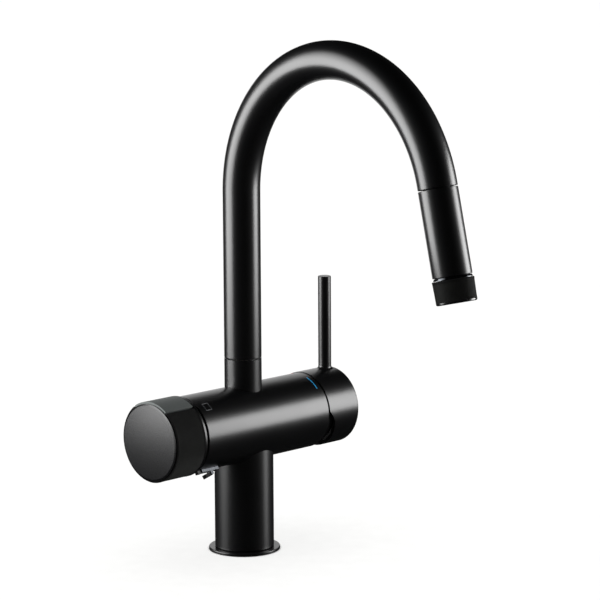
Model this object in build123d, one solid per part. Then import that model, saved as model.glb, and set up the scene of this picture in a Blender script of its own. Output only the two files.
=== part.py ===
from build123d import *
import math
import os

# Kitchen mixer tap with a second valve for filtered water and a pull-out spray head.
# Millimetres. The origin is the column's centre on the underside of the foot flange,
# +Z is up, +X runs along the valve body towards the mixer lever, the spout points to -Y.

# Clearances
FIT = 0.05  # radial, between nested pieces that stay together
RUN = 0.08  # radial, between a turning or sliding piece and its bearing
SLACK = 0.4  # between pieces that move past each other without touching
BOND = 0.06  # solder film between two curved outer pieces

# Foot and column
FLANGE_LIP = 4.65
FLANGE_H = 2.0
FLANGE_ROUND = 0.6
COLUMN_R = 22.25
COLUMN_WALL = 2.0
FOOT_ROUND = 1.0
GASKET_INSET = 1.65
GASKET_WIDTH = 3.0
GASKET_H = 1.2
STUD_INSET = 5.25
STUD_HOLE_R = 3.0
STUD_LUG_WALL = 2.0
STUD_RING_H = 14.0
STUD_RING_WALL = 1.7

# Valve body, lying across the column
BODY_Z = 97.0
BODY_R = 28.7
BODY_WALL = 2.2
BODY_LEFT = 62.05
BODY_RIGHT = 62.8
BODY_CHAMFER = 0.5

# Valve block inside the body, with its water ports
BLOCK_LEFT = 25.0
BOSS_GAP = 0.35
BOSS_DROP = 34.0
PORT_R = 4.0
PORT_WALL = 1.7
PORT_DEPTH = 12.0
CHANNEL_R = 2.4
MIX_PORT_ANGLE = 50.0
FILTER_PORT_ANGLE = 150.0
MIXED_DROP = 8.0

# Spout swivel
SOCKET_RISE = 20.9
SOCKET_WALL = 2.3
SWIVEL_GAP = 0.8
SWIVEL_ANGLE = 75.0
SPIGOT_LENGTH = 30.6
SPIGOT_PLUG = 12.6
BUSH_WALL = 1.0
BUSH_H = 4.0
SEAL_WIRE = 0.9
SEAL_PITCH = 8.0
SEAL_DROP = 7.6
STOP_DROP = 20.6
STOP_SCREW_R = 2.0
STOP_TIP_R = 1.5

# Spout
SPOUT_R = 14.0
SPOUT_WALL = 1.6
SPOUT_TURN = -2.63
ARCH_Z = 272.0
ARCH_R = 103.5
ARCH_SWEEP = 166.3
SPOUT_TAIL = 2.5
DOCK_DEPTH = 9.0
DOCK_RECESS = 0.3

# Hoses inside the spout
HOSE_R = 6.0
HOSE_WALL = 1.4
FILTER_TUBE_R = 2.6
FILTER_TUBE_WALL = 0.8
HOSE_TAIL_R = 7.5
HOSE_TAIL_LOW = 1.0
HOSE_TAIL_H = 11.0
HOSE_GUIDE_WALL = 1.0
HOSE_ROOM = 0.6
HOSE_PASSAGE = 1.2

# Spray head, along its own axis from the end of the arch
HEAD_GAP = 0.8
HEAD_LENGTH = 60.4
HEAD_WALL = 1.5
DOCK_WALL = 2.1
NECK_PLUG = 8.0
NECK_FLANGE = 4.7
NECK_SLEEVE = 6.0
NECK_STEP = 0.8
HOSE_SOCKET = 2.0
CONNECTOR_LENGTH = 8.0
CONNECTOR_FLANGE = 3.0
CHECK_VALVE_LENGTH = 7.0
WATER_HOLES = 6
WATER_HOLE_R = 0.9
TRIM_GAP = 0.3
TRIM_HEIGHT = 1.7
TRIM_BEVEL = 1.4
TRIM_BEVEL_IN = 0.7
HEAD_SPIGOT_STEP = 1.7
COLLAR_GAP = 0.2
COLLAR_LENGTH = 16.7
COLLAR_STEP = 0.8
COLLAR_TAPER = 0.4
COLLAR_BEARING = 7.7
COLLAR_WALL = 1.8
CLIP_H = 0.9
CLIP_WIDTH = 2.1
CLIP_OPENING = 60.0
AERATOR_GAP = 0.55
AERATOR_WALL = 2.5
AERATOR_PLATE = 1.4
AERATOR_HOLES = 12
SCREEN_H = 0.5
NOZZLE_RECESS = 1.4

# Mixer cartridge, along the body towards the lever
CARTRIDGE_DEPTH = 37.0
CARTRIDGE_R = 17.5
CARTRIDGE_SHOULDER = 20.0
CARTRIDGE_NECK = 11.0
CARTRIDGE_STEP = 1.55
CARTRIDGE_WALL = 2.5
CARTRIDGE_FLOOR = 5.0
CARTRIDGE_LIP = 3.0
CARTRIDGE_SEAL_WIRE = 0.5
NUT_WALL = 2.5
NUT_LENGTH = 8.0
DISC_H = 4.0
MOVING_DISC_ROOM = 0.64
MOVING_DISC_H = 3.5
DRIVER_H = 5.0
BALL_R = 2.7
BALL_GAP = 0.35
STEM_SHANK_R = 2.2
STEM_SQUARE = 8.0
STEM_RECESS = 5.4
STEM_SQUARE_ARM = 11.0
PIVOT_REACH = 0.2
PIVOT_PIN_R = 1.5
CARRIER_H = 7.8
CARRIER_TOP = 4.0
CARRIER_SLOT = 17.2
FLOW_ANGLE = 18.0
DOME_WALL = 1.6
DOME_REACH = 15.0

# Mixer lever
CAP_R = 29.3
CAP_CLEAR = 0.6
CAP_LENGTH = 31.5
CAP_FACE = 3.0
CAP_ROUND = 1.5
CAP_GAP = 0.45
NOTCH_TOP = 3.0
NOTCH_MID = 5.6
NOTCH_MID_Z = -5.2
NOTCH_LOW = 10.2
HUB_R = 9.0
HUB_INSET = 8.6
LEVER_EDGE = 2.7
LEVER_R = 5.0
LEVER_REACH = 101.0
LEVER_ROUND = 0.5
LEVER_BOSS = 3.4
LEVER_FLARE = 2.2
LEVER_POST_R = 6.5
LEVER_THREAD_R = 3.0
LEVER_THREAD = 12.0
GRUB_R = 2.5
GRUB_INSET = 7.0
GRUB_ACCESS_R = 2.8

# Filter valve and its knob, along the body away from the lever
FILTER_SEAT = 16.0
FILTER_BORE_R = 11.0
FILTER_DISC_R = 8.0
FILTER_DISC_H = 2.5
FILTER_CAVITY = 9.3
FILTER_HOLE_CIRCLE = 5.3
FILTER_HOLE_R = 1.2
HEADPART_FLANGE_R = 13.0
HEADPART_FLANGE = 6.0
HEADPART_NECK_R = 9.5
HEADPART_INSET = 1.2
SPINDLE_R = 4.0
SPINDLE_COLLAR_R = 6.0
SPINDLE_COLLAR = 4.0
SEAT_RING_H = 3.0
KNOB_CLEAR = 2.65
KNOB_SLEEVE = 27.2
KNOB_R = 30.0
KNOB_SKIN = 3.1
KNOB_RING = 1.9
KNOB_RING_ROUND = 0.4
KNOB_GROOVE_WIDTH = 0.6
KNOB_WAIST_R = 27.7
KNOB_FACE_R = 28.5
KNOB_RIM = 0.8
KNOB_BEVEL = 0.4
KNOB_BEVEL_IN = 1.2
KNOB_FACE_PLUG = 2.6
KNOB_PANEL_ANGLE = 33.7
KNOB_PANEL_GAP = 1.7
KNOB_PANEL_END_GAP = 0.35
HUB_RIM = 2.0
HUB_RECESS = 7.0
HUB_WEB = 4.0
HUB_BOSS_R = 8.0
KNOB_SCREW_R = 2.0
KNOB_SCREW_HEAD_R = 5.5
KNOB_SCREW_HEAD = 2.5
KNOB_SCREW_LENGTH = 10.0

# Catch under the body, near the knob
CATCH_INSET = 11.95
CATCH_ANGLE = -61.0
CATCH_LENGTH = 16.4
CATCH_WIDTH = 5.0
CATCH_H = 2.0
CATCH_PIN_R = 0.6
CATCH_PIN_RISE = 1.8
CATCH_PIN_SHIFT = -1.0
CATCH_EAR = 0.9
CATCH_EAR_R = 1.2
CATCH_BARREL = 2.2
CATCH_BARREL_R = 1.4
PADDLE_START = 2.1
PADDLE_END = 7.0
PADDLE_H = 3.0
PADDLE_WIDTH = 4.0
PADDLE_DROOP = 12.0
NUB_INSET = 1.75
NUB_LENGTH = 3.6
NUB_WIDTH = 3.2
NUB_H = 2.4

# Worked out from the sizes above
COLUMN_BORE = COLUMN_R - COLUMN_WALL
FLANGE_R = COLUMN_R + FLANGE_LIP
GASKET_R = COLUMN_BORE + GASKET_INSET + GASKET_WIDTH / 2
STUD_SPACING = 2 * (COLUMN_BORE - STUD_INSET)
PORT_CIRCLE = COLUMN_BORE - BOSS_GAP - PORT_WALL - PORT_R
SHELL_BORE = BODY_R - BODY_WALL
SOCKET_TOP = BODY_Z + BODY_R + SOCKET_RISE
SOCKET_BORE = SPOUT_R - SOCKET_WALL
SPOUT_BORE = SPOUT_R - SPOUT_WALL
SPIGOT_R = SOCKET_BORE - RUN - BUSH_WALL - FIT
SPIGOT_BORE = HOSE_R + HOSE_PASSAGE
STOP_SLOT_FLOOR = (SPIGOT_R + SPIGOT_BORE) / 2
SPIGOT_LOW = SOCKET_TOP - SPIGOT_LENGTH
STOP_Z = SOCKET_TOP - STOP_DROP
HOSE_BORE = HOSE_R - HOSE_WALL
FILTER_TUBE_BORE = FILTER_TUBE_R - FILTER_TUBE_WALL
HOSE_GUIDE_BORE = HOSE_R + HOSE_ROOM
HOSE_GUIDE_R = HOSE_GUIDE_BORE + HOSE_GUIDE_WALL
BOSS_LOW = BODY_Z - BOSS_DROP
WATER_CIRCLE = (HOSE_BORE + FILTER_TUBE_R) / 2
PIVOT_X = BODY_RIGHT + PIVOT_REACH
CARTRIDGE_SEAT = PIVOT_X - CARTRIDGE_DEPTH
CARTRIDGE_NECK_R = CARTRIDGE_R - CARTRIDGE_STEP
CARTRIDGE_CAVITY = CARTRIDGE_R - CARTRIDGE_WALL
NUT_R = CARTRIDGE_R + NUT_WALL
CARTRIDGE_TOP = CARTRIDGE_SEAT + CARTRIDGE_SHOULDER + CARTRIDGE_NECK
NUT_START = CARTRIDGE_SEAT + CARTRIDGE_SHOULDER
BLOCK_RIGHT = NUT_START + NUT_LENGTH
DISC_FLOOR = CARTRIDGE_SEAT + CARTRIDGE_FLOOR
MOVING_DISC_FLOOR = DISC_FLOOR + DISC_H + FIT
DRIVER_FLOOR = MOVING_DISC_FLOOR + MOVING_DISC_H
CARRIER_FLOOR = CARTRIDGE_TOP - CARTRIDGE_LIP - CARRIER_H
BALL_ARM = PIVOT_X - DRIVER_FLOOR - BALL_GAP - BALL_R
DISC_TRAVEL = BALL_ARM * math.radians(FLOW_ANGLE)
MOVING_DISC_R = CARTRIDGE_CAVITY - DISC_TRAVEL / 2 - MOVING_DISC_ROOM
DOME_R = SHELL_BORE - FIT
CAP_BORE = DOME_R + CAP_GAP
CAP_SKIN = CAP_R - CAP_BORE
CAP_START = BODY_RIGHT + CAP_CLEAR
CAP_END = CAP_START + CAP_LENGTH
LUG_R = STUD_HOLE_R + STUD_LUG_WALL
HUB_START = CAP_START + HUB_INSET
HUB_END = CAP_END - CAP_FACE
STEM_END = HUB_END - STEM_RECESS
GRUB_X = HUB_START + GRUB_INSET
LEVER_X = CAP_END - LEVER_R - LEVER_EDGE
KNOB_BORE = KNOB_R - KNOB_SKIN
KNOB_START = BODY_LEFT + KNOB_CLEAR
KNOB_GROOVE = KNOB_START + KNOB_RING + KNOB_SLEEVE
KNOB_END = KNOB_GROOVE + KNOB_GROOVE_WIDTH + KNOB_RIM
HEADPART_END = BODY_LEFT - HEADPART_INSET
HUB_WEB_END = KNOB_GROOVE - KNOB_FACE_PLUG - HUB_RECESS
HUB_WEB_START = HUB_WEB_END - HUB_WEB
CATCH_X = CATCH_INSET - BODY_LEFT
NUB_X = NUB_INSET - BODY_LEFT
HEAD_START = SPOUT_TAIL + HEAD_GAP
HEAD_END = HEAD_START + HEAD_LENGTH
HEAD_BORE = SPOUT_R - HEAD_WALL
HEAD_SPIGOT_R = HEAD_BORE - HEAD_SPIGOT_STEP
NECK_BORE = HOSE_R + HOSE_PASSAGE
NECK_R = SPOUT_BORE - DOCK_WALL
NECK_SLEEVE_R = NECK_R - NECK_STEP
CHECK_VALVE_R = NECK_SLEEVE_R - NECK_STEP
NECK_SLEEVE_END = HEAD_START + NECK_FLANGE + NECK_SLEEVE
HOSE_END = NECK_SLEEVE_END - HOSE_SOCKET
CONNECTOR_END = HOSE_END + CONNECTOR_LENGTH
CHECK_VALVE_END = CONNECTOR_END + CHECK_VALVE_LENGTH
TRIM_START = HEAD_END + TRIM_GAP
COLLAR_START = TRIM_START + TRIM_HEIGHT + COLLAR_GAP
COLLAR_END = COLLAR_START + COLLAR_LENGTH
COLLAR_R = SPOUT_R + COLLAR_STEP
CLIP_START = COLLAR_START + COLLAR_BEARING + SLACK
HEAD_SPIGOT_END = CLIP_START + 2 * CLIP_H
AERATOR_START = HEAD_SPIGOT_END + AERATOR_GAP
AERATOR_END = COLLAR_END - FIT


def facing(origin, up, along):
    """A place whose own Z runs along one direction and whose own X points up."""
    return Plane(origin=origin, x_dir=up, z_dir=along).location


DECK = Location()
BODY = facing((0, 0, BODY_Z), (0, 0, 1), (1, 0, 0))
KNOB = facing((0, 0, BODY_Z), (0, 0, 1), (-1, 0, 0))
REAR_STOP = facing((0, 0, STOP_Z), (0, 0, 1), (0, 1, 0))
PIVOT = facing((PIVOT_X, 0, BODY_Z), (0, 0, 1), (0, 1, 0))
GRUB = facing((GRUB_X, 0, BODY_Z), (0, 0, 1), (0, 1, 0))
LEVER = Pos(LEVER_X, 0, BODY_Z)
SPOUT = Rot(0, 0, SPOUT_TURN)

sweep_rad = math.radians(ARCH_SWEEP)
ARCH_END = Pos(0, -ARCH_R * (1 - math.cos(sweep_rad)), ARCH_Z + ARCH_R * math.sin(sweep_rad))
HEAD = SPOUT * ARCH_END * Rot(ARCH_SWEEP, 0, 0)

catch_rad = math.radians(CATCH_ANGLE)
CATCH_OUT = Vector(0, -math.cos(catch_rad), math.sin(catch_rad))
CATCH = facing(Vector(CATCH_X, 0, BODY_Z) + CATCH_OUT * BODY_R, (-1, 0, 0), CATCH_OUT)


def turned(place, *outline):
    """A solid turned about the place's Z from an outline of (radius, height) corners."""
    face = make_face(Polyline(*outline, close=True))
    return place * revolve(Plane.XZ * face, Axis.Z)


def ring(place, outer, inner, start, end):
    """A tube between two radii, from one height to another."""
    return turned(place, (inner, start), (outer, start), (outer, end), (inner, end))


def rod(place, radius, start, end):
    """A round bar from one height to another."""
    return turned(place, (0, start), (radius, start), (radius, end), (0, end))


def sector(place, outer, inner, start, end, first, last):
    """The part of a tube between two angles, counted from the place's X."""
    outline = Polyline((inner, start), (outer, start), (outer, end), (inner, end), close=True)
    return place * Rot(0, 0, first) * revolve(Plane.XZ * make_face(outline), Axis.Z, last - first)


def block(place, size, centre):
    """A box of the given size about a centre."""
    return place * Pos(*centre) * Box(*size)


def spread(place, count, circle, radius, start, end):
    """Round holes on a circle about the place's Z."""
    holes = Part()
    for number in range(count):
        turn = Rot(0, 0, 360 * number / count)
        holes += rod(place * turn * Pos(circle, 0, 0), radius, start, end)
    return holes


def along_spout(outer, inner, low, beyond):
    """A tube on the spout's centre line: up the riser, round the arch, straight on."""
    section = Circle(outer) - Circle(inner)
    riser = extrude(Pos(0, 0, low) * section, ARCH_Z - low)
    arch_axis = Axis((0, -ARCH_R, ARCH_Z), (1, 0, 0))
    arch = revolve(Pos(0, 0, ARCH_Z) * section, arch_axis, ARCH_SWEEP)
    tail = extrude(ARCH_END * Rot(ARCH_SWEEP, 0, 0) * section, beyond)
    return SPOUT * (riser + arch + tail)


def edges_at(solid, place, radius, height):
    """The solid's round edges of one radius at one height of a place."""
    centre = (place * Pos(0, 0, height)).position
    found = ShapeList()
    for edge in solid.edges().filter_by(GeomType.CIRCLE):
        near = (edge.arc_center - centre).length < 0.01
        if near and abs(edge.radius - radius) < 0.01:
            found.append(edge)
    return found


def body_cylinder(radius):
    """The valve body's outline as a solid bar, to shape what meets it."""
    return rod(BODY, radius, -BODY_LEFT, BODY_RIGHT)


def port_places():
    """Where each water port opens on the underside of the valve block."""
    angles = {
        "hot": -MIX_PORT_ANGLE,
        "cold": MIX_PORT_ANGLE,
        "mixed": 0.0,
        "filter_in": -FILTER_PORT_ANGLE,
        "filter_out": FILTER_PORT_ANGLE,
    }
    return {
        name: (
            PORT_CIRCLE * math.cos(math.radians(angle)),
            PORT_CIRCLE * math.sin(math.radians(angle)),
        )
        for name, angle in angles.items()
    }


PORTS = port_places()


# Foot and column

def base_flange():
    flange = ring(DECK, FLANGE_R, COLUMN_BORE, 0, FLANGE_H)
    flange = fillet(edges_at(flange, DECK, FLANGE_R, FLANGE_H), FLANGE_ROUND)
    half = GASKET_WIDTH / 2
    return flange - ring(DECK, GASKET_R + half, GASKET_R - half, 0, GASKET_H)


def base_gasket():
    half = GASKET_WIDTH / 2 - FIT
    return ring(DECK, GASKET_R + half, GASKET_R - half, 0, GASKET_H)


def column():
    tube = ring(DECK, COLUMN_R, COLUMN_BORE, FLANGE_H, BODY_Z)
    tube = fillet(edges_at(tube, DECK, COLUMN_R, FLANGE_H), FOOT_ROUND)
    return tube - body_cylinder(BODY_R + BOND)


def stud_ring():
    outer = COLUMN_BORE - FIT
    solid = ring(DECK, outer, outer - STUD_RING_WALL, 0, STUD_RING_H)
    lugs = Part()
    holes = Part()
    for side in (-1, 1):
        place = Pos(0, side * STUD_SPACING / 2, 0)
        lugs += rod(place, LUG_R, 0, STUD_RING_H)
        holes += rod(place, STUD_HOLE_R, 0, STUD_RING_H)
    return solid + (lugs & rod(DECK, outer, 0, STUD_RING_H)) - holes


# Valve body

def body_shell():
    shell = ring(BODY, BODY_R, SHELL_BORE, -BODY_LEFT, BODY_RIGHT)
    rims = edges_at(shell, BODY, BODY_R, -BODY_LEFT) + edges_at(shell, BODY, BODY_R, BODY_RIGHT)
    shell = chamfer(rims, BODY_CHAMFER)
    shell -= rod(DECK, COLUMN_BORE, 0, BODY_Z)
    return shell - rod(DECK, SOCKET_BORE, BODY_Z, BODY_Z + BODY_R)


def water_channel(name, level, end):
    """A drilling up from a port, then along the body to a valve seat."""
    x, y = PORTS[name]
    up = rod(Pos(x, y, 0), CHANNEL_R, BOSS_LOW + PORT_DEPTH, level + CHANNEL_R)
    side = facing((0, y, level), (0, 0, 1), (1, 0, 0))
    return up + rod(side, CHANNEL_R, min(x, end), max(x, end))


def valve_block():
    solid = rod(BODY, SHELL_BORE - FIT, -BLOCK_LEFT, BLOCK_RIGHT)
    solid += rod(DECK, COLUMN_BORE - BOSS_GAP, BOSS_LOW, BODY_Z)
    solid -= rod(DECK, HOSE_GUIDE_R + FIT, BOSS_LOW, BODY_Z + BODY_R)
    solid -= rod(DECK, SOCKET_BORE, SPIGOT_LOW - SLACK, BODY_Z + BODY_R)
    solid -= rod(BODY, CARTRIDGE_R + FIT, CARTRIDGE_SEAT, BLOCK_RIGHT)
    solid -= rod(BODY, NUT_R, NUT_START, BLOCK_RIGHT)
    solid -= rod(KNOB, FILTER_BORE_R, FILTER_SEAT, BLOCK_LEFT)
    for x, y in PORTS.values():
        solid -= rod(Pos(x, y, 0), PORT_R, BOSS_LOW, BOSS_LOW + PORT_DEPTH)
    solid -= water_channel("hot", BODY_Z, CARTRIDGE_SEAT)
    solid -= water_channel("cold", BODY_Z, CARTRIDGE_SEAT)
    solid -= water_channel("mixed", BODY_Z - MIXED_DROP, CARTRIDGE_SEAT)
    solid -= water_channel("filter_in", BODY_Z, -FILTER_SEAT)
    return solid - water_channel("filter_out", BODY_Z, -FILTER_SEAT)


def hose_guide():
    return ring(DECK, HOSE_GUIDE_R, HOSE_GUIDE_BORE, BOSS_LOW, SPIGOT_LOW - SLACK)


# Spout swivel

def spout_socket():
    socket = ring(DECK, SPOUT_R, SOCKET_BORE, BODY_Z, SOCKET_TOP)
    socket -= body_cylinder(BODY_R + BOND)
    return socket - rod(REAR_STOP, STOP_SCREW_R, 0, SPOUT_R)


def swivel_stop_screw():
    screw = rod(REAR_STOP, STOP_TIP_R, STOP_SLOT_FLOOR + SLACK, SOCKET_BORE + SLACK)
    screw += rod(REAR_STOP, STOP_SCREW_R - FIT, SOCKET_BORE + SLACK, SPOUT_R - SLACK)
    hex_socket = extrude(RegularPolygon(STOP_SCREW_R / 2, 6), -STOP_SCREW_R / 2)
    return screw - REAR_STOP * Pos(0, 0, SPOUT_R - SLACK) * hex_socket


def seal_heights():
    top = SOCKET_TOP - SEAL_DROP
    return (top, top - SEAL_PITCH)


def spout_spigot():
    foot = SOCKET_TOP + SWIVEL_GAP
    solid = ring(SPOUT, SPIGOT_R, SPIGOT_BORE, SPIGOT_LOW, foot)
    solid += ring(SPOUT, SPOUT_BORE - FIT, SPIGOT_BORE, foot, foot + SPIGOT_PLUG)
    floor = SOCKET_BORE - RUN - 2 * SEAL_WIRE - FIT
    for height in seal_heights():
        low = height - SEAL_WIRE - 4 * FIT
        solid -= ring(SPOUT, SOCKET_BORE, floor, low, height + SEAL_WIRE + 4 * FIT)
    half = STOP_TIP_R + SLACK
    widen = math.degrees(math.asin(half / STOP_SLOT_FLOOR))
    first = 90 - SWIVEL_ANGLE - widen
    last = 90 + SWIVEL_ANGLE + widen
    low = STOP_Z - half
    return solid - sector(SPOUT, SOCKET_BORE, STOP_SLOT_FLOOR, low, low + 2 * half, first, last)


def swivel_bushes():
    upper = SOCKET_TOP - BUSH_H
    lower = SPIGOT_LOW
    bushes = Part()
    for low in (upper, lower):
        bushes += ring(SPOUT, SOCKET_BORE - RUN, SPIGOT_R + FIT, low, low + BUSH_H)
    return bushes


def swivel_seals():
    middle = SOCKET_BORE - RUN - SEAL_WIRE
    seals = Part()
    for height in seal_heights():
        seals += SPOUT * Pos(0, 0, height) * Torus(middle, SEAL_WIRE)
    return seals


# Spout and its hoses

def spout_tube():
    return along_spout(SPOUT_R, SPOUT_BORE, SOCKET_TOP + SWIVEL_GAP, SPOUT_TAIL)


def dock_ring():
    """Seat of the head in the spout's end, thinner where the spout already bends."""
    bend_room = DOCK_DEPTH**2 / (2 * ARCH_R) + 2 * FIT
    outer = SPOUT_BORE - FIT
    bore = NECK_R + RUN
    top = -DOCK_DEPTH
    end = SPOUT_TAIL - DOCK_RECESS
    corners = ((bore, top), (outer - bend_room, top), (outer - bend_room, 0), (outer, 0))
    return turned(HEAD, *corners, (outer, end), (bore, end))


def spray_hose():
    return along_spout(HOSE_R, HOSE_BORE, HOSE_TAIL_LOW + HOSE_TAIL_H, HOSE_END)


def filter_tube():
    return along_spout(FILTER_TUBE_R, FILTER_TUBE_BORE, HOSE_TAIL_LOW, HOSE_END)


def hose_tail():
    """Threaded nipple on the hose's lower end, with a stem pushed into the hose."""
    top = HOSE_TAIL_LOW + HOSE_TAIL_H
    tail = ring(SPOUT, HOSE_TAIL_R, FILTER_TUBE_R + SLACK, HOSE_TAIL_LOW, top)
    stem = ring(SPOUT, HOSE_BORE - FIT, FILTER_TUBE_R + SLACK, top, top + HOSE_TAIL_H / 2)
    return tail + stem


# Spray head

def head_neck():
    start = HEAD_START
    flange_end = start + NECK_FLANGE
    lead = NECK_STEP
    corners = (
        (NECK_BORE, start - NECK_PLUG),
        (NECK_R - lead, start - NECK_PLUG),
        (NECK_R, start - NECK_PLUG + lead),
        (NECK_R, start),
        (HEAD_BORE - FIT, start),
        (HEAD_BORE - FIT, flange_end),
        (NECK_SLEEVE_R, flange_end),
        (NECK_SLEEVE_R, NECK_SLEEVE_END),
        (NECK_BORE, NECK_SLEEVE_END),
    )
    return turned(HEAD, *corners)


def hose_connector():
    flange_end = NECK_SLEEVE_END + CONNECTOR_FLANGE
    corners = (
        (FILTER_TUBE_BORE, HOSE_END),
        (NECK_BORE - FIT, HOSE_END),
        (NECK_BORE - FIT, NECK_SLEEVE_END),
        (NECK_SLEEVE_R, NECK_SLEEVE_END),
        (NECK_SLEEVE_R, flange_end),
        (CHECK_VALVE_R, flange_end),
        (CHECK_VALVE_R, CONNECTOR_END),
        (FILTER_TUBE_BORE, CONNECTOR_END),
    )
    holes = spread(HEAD, WATER_HOLES, WATER_CIRCLE, WATER_HOLE_R, HOSE_END, CONNECTOR_END)
    return turned(HEAD, *corners) - holes


def check_valve():
    valve = ring(HEAD, CHECK_VALVE_R, FILTER_TUBE_BORE, CONNECTOR_END, CHECK_VALVE_END)
    holes = spread(HEAD, WATER_HOLES, WATER_CIRCLE, WATER_HOLE_R, CONNECTOR_END, CHECK_VALVE_END)
    return valve - holes


def head_core():
    start = HEAD_START + NECK_FLANGE
    core = ring(HEAD, HEAD_BORE - FIT, FILTER_TUBE_BORE, start, TRIM_START)
    core += ring(HEAD, HEAD_SPIGOT_R, FILTER_TUBE_BORE, TRIM_START, HEAD_SPIGOT_END)
    core -= rod(HEAD, NECK_SLEEVE_R + FIT, start, NECK_SLEEVE_END + CONNECTOR_FLANGE)
    core -= rod(HEAD, CHECK_VALVE_R + FIT, start, CHECK_VALVE_END)
    core -= ring(HEAD, COLLAR_R, HEAD_SPIGOT_R - CLIP_H, CLIP_START, CLIP_START + CLIP_H)
    return core - spread(
        HEAD, WATER_HOLES, WATER_CIRCLE, WATER_HOLE_R, CHECK_VALVE_END, HEAD_SPIGOT_END
    )


def head_shell():
    return ring(HEAD, SPOUT_R, HEAD_BORE, HEAD_START, HEAD_END)


def trim_ring():
    end = TRIM_START + TRIM_HEIGHT
    bevel_end = TRIM_START + TRIM_BEVEL
    bore = HEAD_SPIGOT_R + FIT
    corners = ((bore, TRIM_START), (SPOUT_R - TRIM_BEVEL_IN, TRIM_START), (SPOUT_R, bevel_end))
    return turned(HEAD, *corners, (SPOUT_R, end), (bore, end))


def filter_nozzle():
    end = COLLAR_END - NOZZLE_RECESS
    return ring(HEAD, FILTER_TUBE_R, FILTER_TUBE_BORE, HEAD_SPIGOT_END, end)


def collar_clip():
    """Spring clip, open on one side, that keeps the collar on the head's spigot."""
    inner = HEAD_SPIGOT_R - CLIP_H + FIT
    outer = inner + CLIP_WIDTH
    half = CLIP_OPENING / 2
    return sector(HEAD, outer, inner, CLIP_START, CLIP_START + CLIP_H, half, 360 - half)


def spray_collar():
    shoulder = COLLAR_START + COLLAR_BEARING
    bore = HEAD_SPIGOT_R + RUN
    chamber = COLLAR_R - COLLAR_TAPER - COLLAR_WALL
    foot = COLLAR_R - COLLAR_TAPER
    corners = ((bore, COLLAR_START), (COLLAR_R, COLLAR_START), (foot, COLLAR_END))
    collar = turned(HEAD, *corners, (chamber, COLLAR_END), (chamber, shoulder), (bore, shoulder))
    rims = edges_at(collar, HEAD, COLLAR_R, COLLAR_START) + edges_at(collar, HEAD, foot, COLLAR_END)
    return fillet(rims, COLLAR_WALL / 3)


def aerator_housing():
    outer = COLLAR_R - COLLAR_TAPER - COLLAR_WALL - FIT
    plate_end = AERATOR_START + AERATOR_PLATE
    inner = outer - AERATOR_WALL
    middle = FILTER_TUBE_R + SLACK
    housing = ring(HEAD, outer, inner, AERATOR_START, AERATOR_END)
    housing += ring(HEAD, outer, middle, AERATOR_START, plate_end)
    circle = (inner + middle) / 2
    return housing - spread(HEAD, AERATOR_HOLES, circle, WATER_HOLE_R, AERATOR_START, plate_end)


def aerator_screens():
    outer = COLLAR_R - COLLAR_TAPER - COLLAR_WALL - FIT - AERATOR_WALL - FIT
    middle = FILTER_TUBE_R + SLACK
    plate_end = AERATOR_START + AERATOR_PLATE
    pitch = (AERATOR_END - plate_end) / 2
    screens = Part()
    for number in (1, 2):
        start = plate_end + number * pitch - 2 * SCREEN_H
        screens += ring(HEAD, outer, middle, start, start + SCREEN_H)
    return screens


# Mixer cartridge

def seat_holes():
    """Where the cartridge's three drillings stand, in the body's own X and Y."""
    hot = PORTS["hot"][1]
    cold = PORTS["cold"][1]
    return ((0, -hot), (0, -cold), (-MIXED_DROP, 0))


def drill_seats(solid, start, end):
    for up, front in seat_holes():
        solid -= rod(BODY * Pos(up, front, 0), CHANNEL_R, start, end)
    return solid


def cartridge_housing():
    shoulder = CARTRIDGE_SEAT + CARTRIDGE_SHOULDER
    lip_low = CARTRIDGE_TOP - CARTRIDGE_LIP
    solid = rod(BODY, CARTRIDGE_R, CARTRIDGE_SEAT, shoulder)
    solid += rod(BODY, CARTRIDGE_NECK_R, shoulder, CARTRIDGE_TOP)
    solid -= rod(BODY, CARTRIDGE_CAVITY, DISC_FLOOR, lip_low)
    solid -= rod(BODY, CARTRIDGE_CAVITY - CARTRIDGE_WALL, lip_low, CARTRIDGE_TOP)
    for up, front in seat_holes():
        seal = CHANNEL_R + 2 * CARTRIDGE_SEAL_WIRE + FIT
        place = BODY * Pos(up, front, 0)
        solid -= rod(place, seal, CARTRIDGE_SEAT, CARTRIDGE_SEAT + 2 * CARTRIDGE_SEAL_WIRE)
    return drill_seats(solid, CARTRIDGE_SEAT, DISC_FLOOR)


def cartridge_seals():
    seals = Part()
    for up, front in seat_holes():
        place = BODY * Pos(up, front, CARTRIDGE_SEAT + CARTRIDGE_SEAL_WIRE)
        seals += place * Torus(CHANNEL_R + CARTRIDGE_SEAL_WIRE, CARTRIDGE_SEAL_WIRE)
    return seals


def cartridge_disc_fixed():
    disc = rod(BODY, CARTRIDGE_CAVITY - FIT, DISC_FLOOR, DISC_FLOOR + DISC_H)
    return drill_seats(disc, DISC_FLOOR, DISC_FLOOR + DISC_H)


def moving_centre():
    """The moving disc rests half its travel below the body's axis."""
    return BODY * Pos(-DISC_TRAVEL / 2, 0, 0)


def cartridge_disc_moving():
    disc = rod(moving_centre(), MOVING_DISC_R, MOVING_DISC_FLOOR, DRIVER_FLOOR)
    mixing = MOVING_DISC_R / 2
    return disc - rod(moving_centre(), mixing, MOVING_DISC_FLOOR, DRIVER_FLOOR - MOVING_DISC_H / 2)


def disc_driver():
    driver = rod(moving_centre(), MOVING_DISC_R, DRIVER_FLOOR, DRIVER_FLOOR + DRIVER_H)
    return driver - rod(BODY, BALL_R + SLACK, DRIVER_FLOOR, DRIVER_FLOOR + DRIVER_H)


def cartridge_nut():
    return ring(BODY, NUT_R - FIT, CARTRIDGE_NECK_R + FIT, NUT_START, CARTRIDGE_TOP)


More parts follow.
